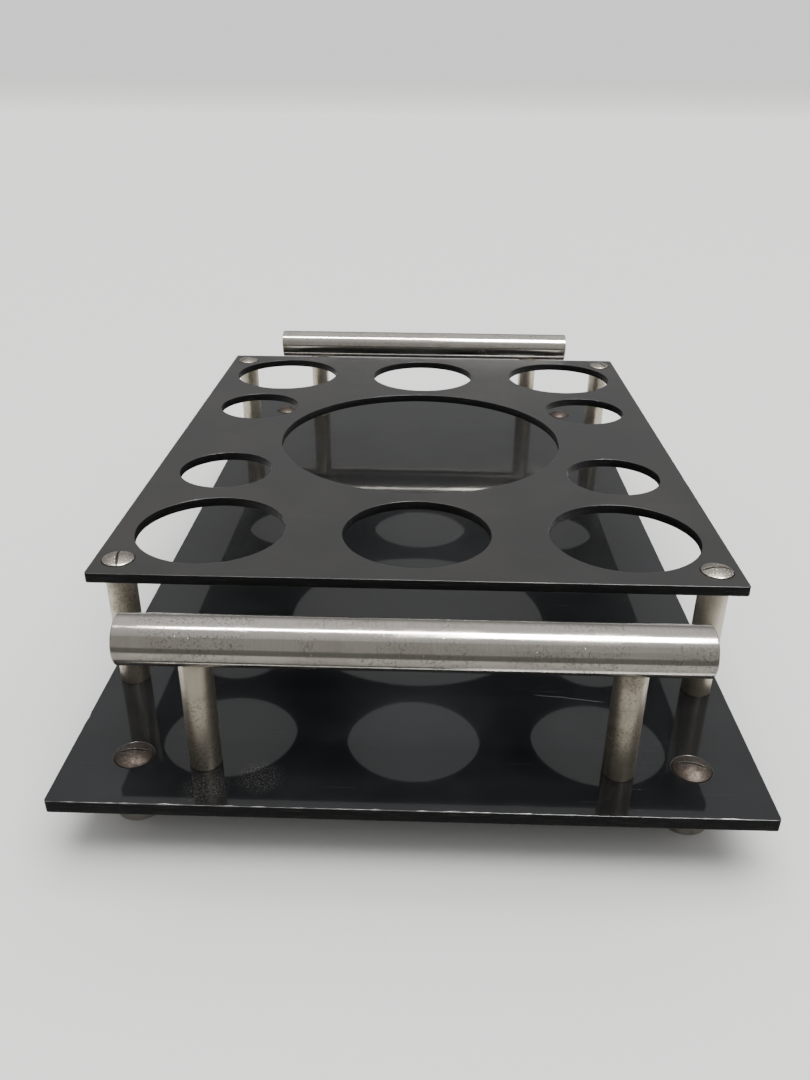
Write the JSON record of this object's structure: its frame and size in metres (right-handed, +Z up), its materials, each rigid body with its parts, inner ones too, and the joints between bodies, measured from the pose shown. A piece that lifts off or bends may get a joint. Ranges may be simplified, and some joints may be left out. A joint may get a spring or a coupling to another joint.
{
  "type": "two-deck vessel rack",
  "caption": "Flat rack with a pierced upper deck on posts above a base board, round holes of three sizes, and a bar handle across each end.",
  "frame": {"origin": "on the surface the four feet stand on, midway between them and under the middle of the base board", "axes": "+X across the rack, +Y along it from the front handle to the rear one, +Z up"},
  "size_m": [0.302, 0.529, 0.1019],
  "materials": {
    "base_laminate": "gloss black laminate, lightly scratched, with a chipped front edge",
    "deck_laminate": "satin black laminate with slight wear on the edges",
    "post_aluminium": "drawn round bar, fine lengthwise lines, slightly dull",
    "bar_aluminium": "turned round bar, fine lines round its axis, small pits",
    "foot_aluminium": "turned, dull",
    "screw_steel": "tarnished grey-brown, slotted",
    "rusty_screw_steel": "brown with surface rust, slotted"
  },
  "bodies": {
    "root": {"base_plate": "base_laminate", "top_plate": "deck_laminate", "corner_post_front_left": "post_aluminium", "corner_post_front_right": "post_aluminium", "corner_post_rear_left": "post_aluminium", "corner_post_rear_right": "post_aluminium", "handle_bar_front": "bar_aluminium", "handle_bar_rear": "bar_aluminium", "handle_standoff_front_left": "post_aluminium", "handle_standoff_front_right": "post_aluminium", "handle_standoff_rear_left": "post_aluminium", "handle_standoff_rear_right": "post_aluminium", "foot_front_left": "foot_aluminium", "foot_front_right": "foot_aluminium", "foot_rear_left": "foot_aluminium", "foot_rear_right": "foot_aluminium", "top_screw_front_left": "screw_steel", "top_screw_front_right": "screw_steel", "top_screw_rear_left": "screw_steel", "top_screw_rear_right": "screw_steel", "foot_screw_front_left": "rusty_screw_steel", "foot_screw_front_right": "rusty_screw_steel", "foot_screw_rear_left": "rusty_screw_steel", "foot_screw_rear_right": "rusty_screw_steel", "post_screw_front_left": "screw_steel", "post_screw_front_right": "screw_steel", "post_screw_rear_left": "screw_steel", "post_screw_rear_right": "screw_steel", "handle_screw_front_left": "screw_steel", "handle_screw_front_right": "screw_steel", "handle_screw_rear_left": "screw_steel", "handle_screw_rear_right": "screw_steel"}
  },
  "joints": []
}
